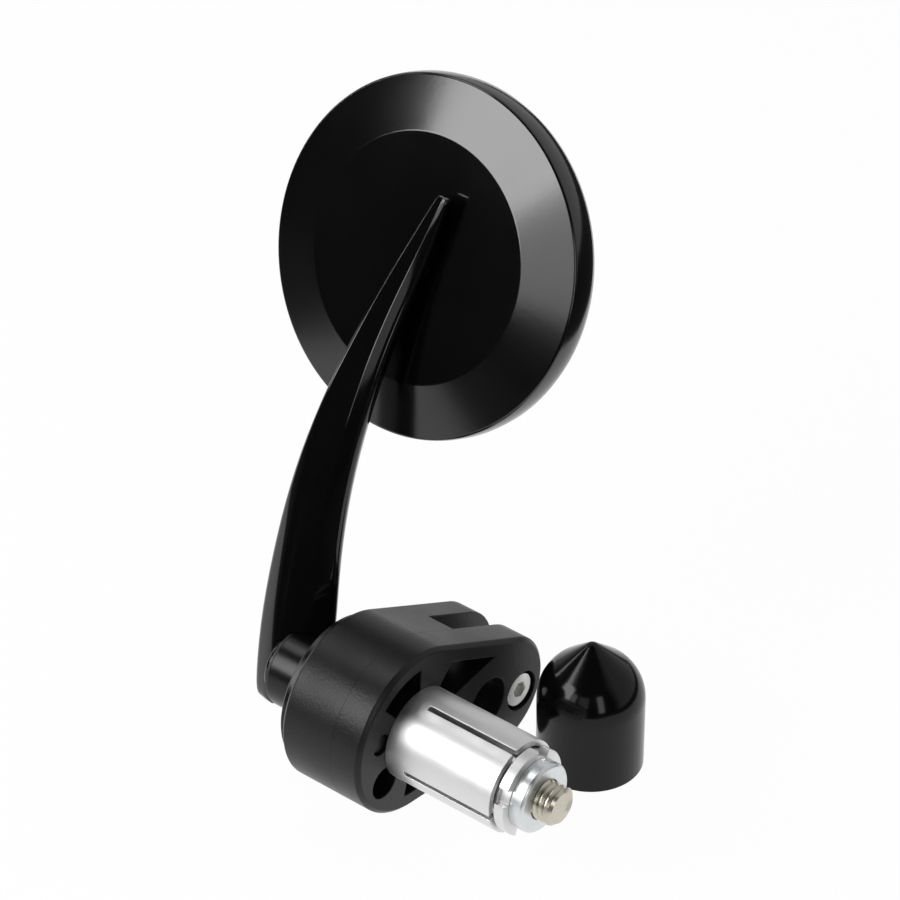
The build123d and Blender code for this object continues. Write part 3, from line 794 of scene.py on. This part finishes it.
def makeRoom(v):
    world = bpy.data.worlds.new("room")
    world.use_nodes = True
    tree = world.node_tree
    tree.nodes.clear()
    out = tree.nodes.new("ShaderNodeOutputWorld")
    light = tree.nodes.new("ShaderNodeBackground")
    parts = tree.nodes.new("ShaderNodeSeparateXYZ")
    tree.links.new(tree.nodes.new("ShaderNodeTexCoord").outputs["Generated"], parts.inputs[0])
    fade = addNode(
        tree,
        "ShaderNodeMapRange",
        {"interpolation_type": "SMOOTHSTEP"},
        From_Min=v["from"],
        From_Max=v["to"],
        To_Min=v["front"],
        To_Max=v["back"],
    )
    tree.links.new(parts.outputs["Y"], fade.inputs["Value"])
    seen = tree.nodes.new("ShaderNodeLightPath").outputs["Is Camera Ray"]
    strength = mathNode(tree, "MAXIMUM", fade.outputs["Result"], seen)
    tree.links.new(strength, light.inputs["Strength"])
    tree.links.new(light.outputs[0], out.inputs[0])
    bpy.context.scene.world = world


makeRoom(roomLight)

# soft boxes, placed by the bright and dark parts of the head's bevel in the photograph
softBoxes = [
    {
        "name": "frontBox", "at": (-0.435, -0.741, 0.565), "to": (-0.03, 0.035, 0.08),
        "size": (0.48, 0.57), "power": 6.4,
    },
    {
        "name": "sideBox", "at": (-0.12, -0.894, 0.438), "to": (-0.03, 0.035, 0.08),
        "size": (0.3, 0.5), "power": 1.1,
    },
    {
        "name": "topBox", "at": (-0.45, 0.02, 0.78), "to": (-0.02, 0.01, 0.0),
        "size": (0.3, 0.3), "power": 0.8,
    },
    {
        "name": "rightBox", "at": (0.75, -0.4, 0.35), "to": (0.0, 0.02, 0.04),
        "size": (0.2, 0.6), "power": 1.1,
    },
    {
        "name": "fillBox", "at": (0.3, -0.77, 0.42), "to": (-0.03, 0.03, 0.06),
        "size": (0.35, 0.4), "power": 0.35,
    },
    {
        "name": "leftStrip", "at": (-0.86, -0.12, 0.32), "to": (-0.03, 0.02, 0.05),
        "size": (0.06, 0.7), "power": 0.8,
    },
]


def makeSoftBox(v):
    data = bpy.data.lights.new(v["name"], "AREA")
    data.shape = "RECTANGLE"
    data.size, data.size_y = v["size"]
    data.energy = v["power"]
    lamp = addObject(v["name"], data)
    lamp.location = v["at"]
    aim = Vector(v["to"]) - Vector(v["at"])
    lamp.rotation_mode = "QUATERNION"
    lamp.rotation_quaternion = aim.to_track_quat("-Z", "Y")


for box in softBoxes:
    makeSoftBox(box)
print("studio lit")
